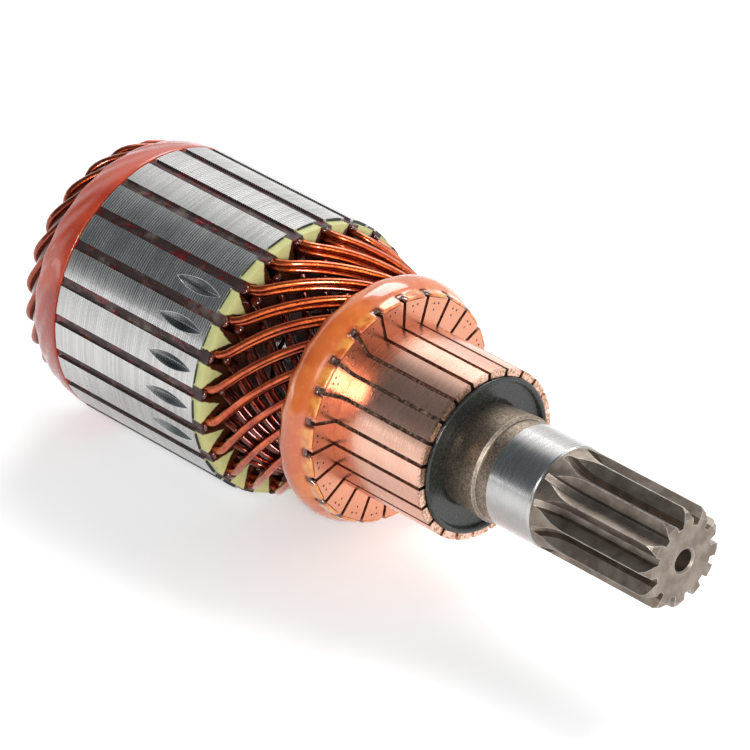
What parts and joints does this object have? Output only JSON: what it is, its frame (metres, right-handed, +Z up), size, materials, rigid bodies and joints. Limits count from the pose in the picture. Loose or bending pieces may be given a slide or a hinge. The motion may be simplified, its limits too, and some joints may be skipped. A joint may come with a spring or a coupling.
{
  "type": "motor armature",
  "caption": "Wound motor armature: slotted steel core with copper coils, a commutator with a resin bead, and a shaft that ends in a cut pinion.",
  "frame": {"origin": "centre of the front bearing seat, on the shaft's axis", "axes": "+X along the shaft towards the pinion, +Z up with the shaft lying level, +Y by the right-hand rule"},
  "size_m": [0.1575, 0.054, 0.054],
  "materials": {
    "shaft_steel": "ground on the seats, plain turned elsewhere",
    "stack_steel": "ground over its laminations",
    "end_fibre": "yellow-green fibre sheet",
    "slot_wedge": "dark brown-red varnished strip",
    "mica": "dark undercut insulation",
    "hub_moulding": "glossy black moulding",
    "bead_resin": "glossy orange-brown resin",
    "band_varnish": "orange-red varnish",
    "bar_copper": "turned copper",
    "winding_copper": "enamelled copper wire"
  },
  "bodies": {
    "root": {"shaft": "shaft_steel", "lamination_stack": "stack_steel", "front_end_plate": "end_fibre", "rear_end_plate": "end_fibre", "slot_wedges": "slot_wedge", "mica_segments": "mica", "commutator_hub": "hub_moulding", "riser_bead": "bead_resin", "rear_band": "band_varnish", "bar_01": "bar_copper", "bar_02": "bar_copper", "bar_03": "bar_copper", "bar_04": "bar_copper", "bar_05": "bar_copper", "bar_06": "bar_copper", "bar_07": "bar_copper", "bar_08": "bar_copper", "bar_09": "bar_copper", "bar_10": "bar_copper", "bar_11": "bar_copper", "bar_12": "bar_copper", "bar_13": "bar_copper", "bar_14": "bar_copper", "bar_15": "bar_copper", "bar_16": "bar_copper", "bar_17": "bar_copper", "bar_18": "bar_copper", "bar_19": "bar_copper", "bar_20": "bar_copper", "bar_21": "bar_copper", "bar_22": "bar_copper", "bar_23": "bar_copper", "coil_01": "winding_copper", "coil_02": "winding_copper", "coil_03": "winding_copper", "coil_04": "winding_copper", "coil_05": "winding_copper", "coil_06": "winding_copper", "coil_07": "winding_copper", "coil_08": "winding_copper", "coil_09": "winding_copper", "coil_10": "winding_copper", "coil_11": "winding_copper", "coil_12": "winding_copper", "coil_13": "winding_copper", "coil_14": "winding_copper", "coil_15": "winding_copper", "coil_16": "winding_copper", "coil_17": "winding_copper", "coil_18": "winding_copper", "coil_19": "winding_copper", "coil_20": "winding_copper", "coil_21": "winding_copper", "coil_22": "winding_copper", "coil_23": "winding_copper"}
  },
  "joints": []
}
